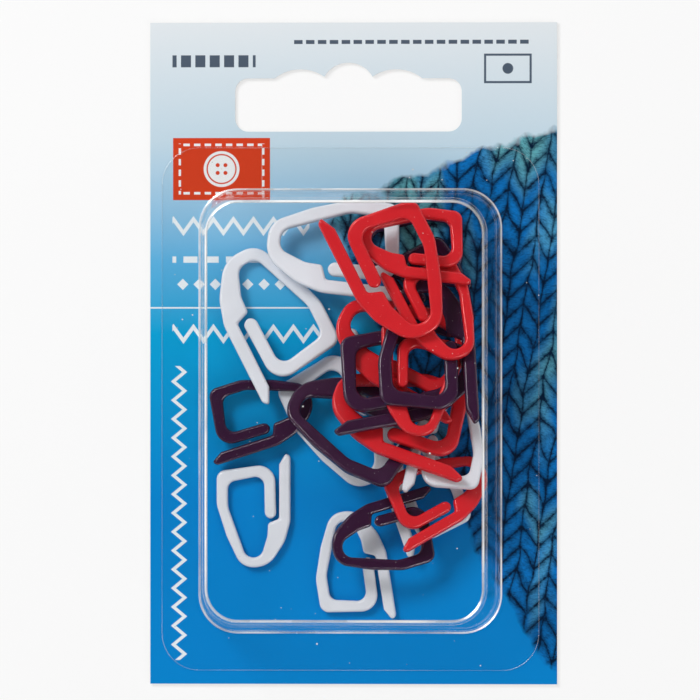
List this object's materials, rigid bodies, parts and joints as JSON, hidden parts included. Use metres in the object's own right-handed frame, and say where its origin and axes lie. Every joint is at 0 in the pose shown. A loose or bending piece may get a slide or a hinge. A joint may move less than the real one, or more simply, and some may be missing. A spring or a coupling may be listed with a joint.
{
  "type": "stitch marker pack",
  "caption": "Hanging card with a clear blister that holds a loose pile of white, red and purple locking stitch markers in two sizes.",
  "frame": {"origin": "middle of the card's back, on the surface that the pack lies on", "axes": "+Y along the card towards its hang slot, +X to the card's right, +Z out of the card's face through the blister"},
  "size_m": [0.065, 0.1054, 0.0158],
  "materials": {
    "printed_board": "coated paperboard with a smooth blue print",
    "clear_film": "clear glossy thermoformed film",
    "white_plastic": "moulded, smooth with a soft shine",
    "red_plastic": "moulded, smooth with a soft shine",
    "purple_plastic": "moulded, smooth with a soft shine"
  },
  "bodies": {
    "pack": {"card": "printed_board", "blister": "clear_film", "white_large_1_ring": "white_plastic", "white_small_1_ring": "white_plastic", "white_small_2_ring": "white_plastic", "purple_small_1_ring": "purple_plastic", "purple_small_2_ring": "purple_plastic", "white_small_3_ring": "white_plastic", "red_small_1_ring": "red_plastic", "white_small_4_ring": "white_plastic", "purple_small_3_ring": "purple_plastic", "purple_small_4_ring": "purple_plastic", "purple_large_1_ring": "purple_plastic", "red_large_1_ring": "red_plastic", "white_large_2_ring": "white_plastic", "red_large_2_ring": "red_plastic", "purple_large_2_ring": "purple_plastic", "red_small_2_ring": "red_plastic", "white_large_3_ring": "white_plastic", "purple_large_3_ring": "purple_plastic", "red_small_3_ring": "red_plastic", "red_small_4_ring": "red_plastic", "red_large_3_ring": "red_plastic"},
    "white_large_1_arm": {"white_large_1_arm": "white_plastic"},
    "white_small_1_arm": {"white_small_1_arm": "white_plastic"},
    "white_small_2_arm": {"white_small_2_arm": "white_plastic"},
    "purple_small_1_arm": {"purple_small_1_arm": "purple_plastic"},
    "purple_small_2_arm": {"purple_small_2_arm": "purple_plastic"},
    "white_small_3_arm": {"white_small_3_arm": "white_plastic"},
    "red_small_1_arm": {"red_small_1_arm": "red_plastic"},
    "white_small_4_arm": {"white_small_4_arm": "white_plastic"},
    "purple_small_3_arm": {"purple_small_3_arm": "purple_plastic"},
    "purple_small_4_arm": {"purple_small_4_arm": "purple_plastic"},
    "purple_large_1_arm": {"purple_large_1_arm": "purple_plastic"},
    "red_large_1_arm": {"red_large_1_arm": "red_plastic"},
    "white_large_2_arm": {"white_large_2_arm": "white_plastic"},
    "red_large_2_arm": {"red_large_2_arm": "red_plastic"},
    "purple_large_2_arm": {"purple_large_2_arm": "purple_plastic"},
    "red_small_2_arm": {"red_small_2_arm": "red_plastic"},
    "white_large_3_arm": {"white_large_3_arm": "white_plastic"},
    "purple_large_3_arm": {"purple_large_3_arm": "purple_plastic"},
    "red_small_3_arm": {"red_small_3_arm": "red_plastic"},
    "red_small_4_arm": {"red_small_4_arm": "red_plastic"},
    "red_large_3_arm": {"red_large_3_arm": "red_plastic"}
  },
  "joints": [
    {"name": "white_large_1_spring", "type": "hinge", "parent": "pack", "child": "white_large_1_arm", "pos_m": [0.00288, -0.02078, 0.00131], "axis": [0, 0, -1], "range_deg": [0, 6], "stiffness_Nm_per_rad": 0.18},
    {"name": "white_small_1_spring", "type": "hinge", "parent": "pack", "child": "white_small_1_arm", "pos_m": [0.00861, -0.01376, 0.00293], "axis": [0, 0, -1], "range_deg": [0, 6], "stiffness_Nm_per_rad": 0.13},
    {"name": "white_small_2_spring", "type": "hinge", "parent": "pack", "child": "white_small_2_arm", "pos_m": [-0.0017, -0.02525, 0.00131], "axis": [0, 0, 1], "range_deg": [0, 6], "stiffness_Nm_per_rad": 0.13},
    {"name": "purple_small_1_spring", "type": "hinge", "parent": "pack", "child": "purple_small_1_arm", "pos_m": [-0.00273, -0.03173, 0.00817], "axis": [0.1908, 0.1196, 0.9743], "range_deg": [0, 6], "stiffness_Nm_per_rad": 0.13},
    {"name": "purple_small_2_spring", "type": "hinge", "parent": "pack", "child": "purple_small_2_arm", "pos_m": [0.00152, 0.01796, 0.00131], "axis": [0, 0, -1], "range_deg": [0, 6], "stiffness_Nm_per_rad": 0.13},
    {"name": "white_small_3_spring", "type": "hinge", "parent": "pack", "child": "white_small_3_arm", "pos_m": [-0.01591, -0.03414, 0.00131], "axis": [0, 0, -1], "range_deg": [0, 6], "stiffness_Nm_per_rad": 0.13},
    {"name": "red_small_1_spring", "type": "hinge", "parent": "pack", "child": "red_small_1_arm", "pos_m": [0.02087, -0.01797, 0.00392], "axis": [0.1392, 0.2228, 0.9649], "range_deg": [0, 6], "stiffness_Nm_per_rad": 0.13},
    {"name": "white_small_4_spring", "type": "hinge", "parent": "pack", "child": "white_small_4_arm", "pos_m": [0.01707, -0.00665, 0.00194], "axis": [-0.0698, -0.3898, -0.9183], "range_deg": [0, 6], "stiffness_Nm_per_rad": 0.13},
    {"name": "purple_small_3_spring", "type": "hinge", "parent": "pack", "child": "purple_small_3_arm", "pos_m": [0.0182, 0.0034, 0.00181], "axis": [-0.0349, -0.2248, 0.9738], "range_deg": [0, 6], "stiffness_Nm_per_rad": 0.13},
    {"name": "purple_small_4_spring", "type": "hinge", "parent": "pack", "child": "purple_small_4_arm", "pos_m": [-0.00662, -0.00678, 0.00293], "axis": [0, 0, 1], "range_deg": [0, 6], "stiffness_Nm_per_rad": 0.13},
    {"name": "purple_large_1_spring", "type": "hinge", "parent": "pack", "child": "purple_large_1_arm", "pos_m": [-0.00981, -0.00749, 0.00609], "axis": [0.0698, 0.3898, 0.9183], "range_deg": [0, 6], "stiffness_Nm_per_rad": 0.18},
    {"name": "red_large_1_spring", "type": "hinge", "parent": "pack", "child": "red_large_1_arm", "pos_m": [-0.00251, -0.00582, 0.00774], "axis": [-0.1392, -0.371, -0.9182], "range_deg": [0, 6], "stiffness_Nm_per_rad": 0.18},
    {"name": "white_large_2_spring", "type": "hinge", "parent": "pack", "child": "white_large_2_arm", "pos_m": [-0.01788, 0.01618, 0.00142], "axis": [0, -0.1564, -0.9877], "range_deg": [0, 6], "stiffness_Nm_per_rad": 0.18},
    {"name": "red_large_2_spring", "type": "hinge", "parent": "pack", "child": "red_large_2_arm", "pos_m": [-0.00159, 0.00647, 0.00608], "axis": [-0.0872, -0.241, -0.9666], "range_deg": [0, 6], "stiffness_Nm_per_rad": 0.18},
    {"name": "purple_large_2_spring", "type": "hinge", "parent": "pack", "child": "purple_large_2_arm", "pos_m": [0.01958, -0.00147, 0.0079], "axis": [0.0872, 0.2578, 0.9623], "range_deg": [0, 6], "stiffness_Nm_per_rad": 0.18},
    {"name": "red_small_2_spring", "type": "hinge", "parent": "pack", "child": "red_small_2_arm", "pos_m": [0.01145, -0.01306, 0.01342], "axis": [0.0872, 0.2578, 0.9623], "range_deg": [0, 6], "stiffness_Nm_per_rad": 0.13},
    {"name": "white_large_3_spring", "type": "hinge", "parent": "pack", "child": "white_large_3_arm", "pos_m": [-0.01342, 0.01832, 0.00467], "axis": [0.0349, -0.2078, -0.9776], "range_deg": [0, 6], "stiffness_Nm_per_rad": 0.18},
    {"name": "purple_large_3_spring", "type": "hinge", "parent": "pack", "child": "purple_large_3_arm", "pos_m": [0.01144, 0.01168, 0.00847], "axis": [0.0872, 0.2578, 0.9623], "range_deg": [0, 2], "stiffness_Nm_per_rad": 0.18},
    {"name": "red_small_3_spring", "type": "hinge", "parent": "pack", "child": "red_small_3_arm", "pos_m": [0.01826, -0.00057, 0.01281], "axis": [0.0872, 0.2578, 0.9623], "range_deg": [0, 6], "stiffness_Nm_per_rad": 0.13},
    {"name": "red_small_4_spring", "type": "hinge", "parent": "pack", "child": "red_small_4_arm", "pos_m": [0.00193, 0.01861, 0.01083], "axis": [-0.0872, -0.2578, -0.9623], "range_deg": [0, 6], "stiffness_Nm_per_rad": 0.13},
    {"name": "red_large_3_spring", "type": "hinge", "parent": "pack", "child": "red_large_3_arm", "pos_m": [0.01275, 0.00308, 0.01442], "axis": [0.0175, 0.0523, 0.9985], "range_deg": [0, 6], "stiffness_Nm_per_rad": 0.18}
  ]
}
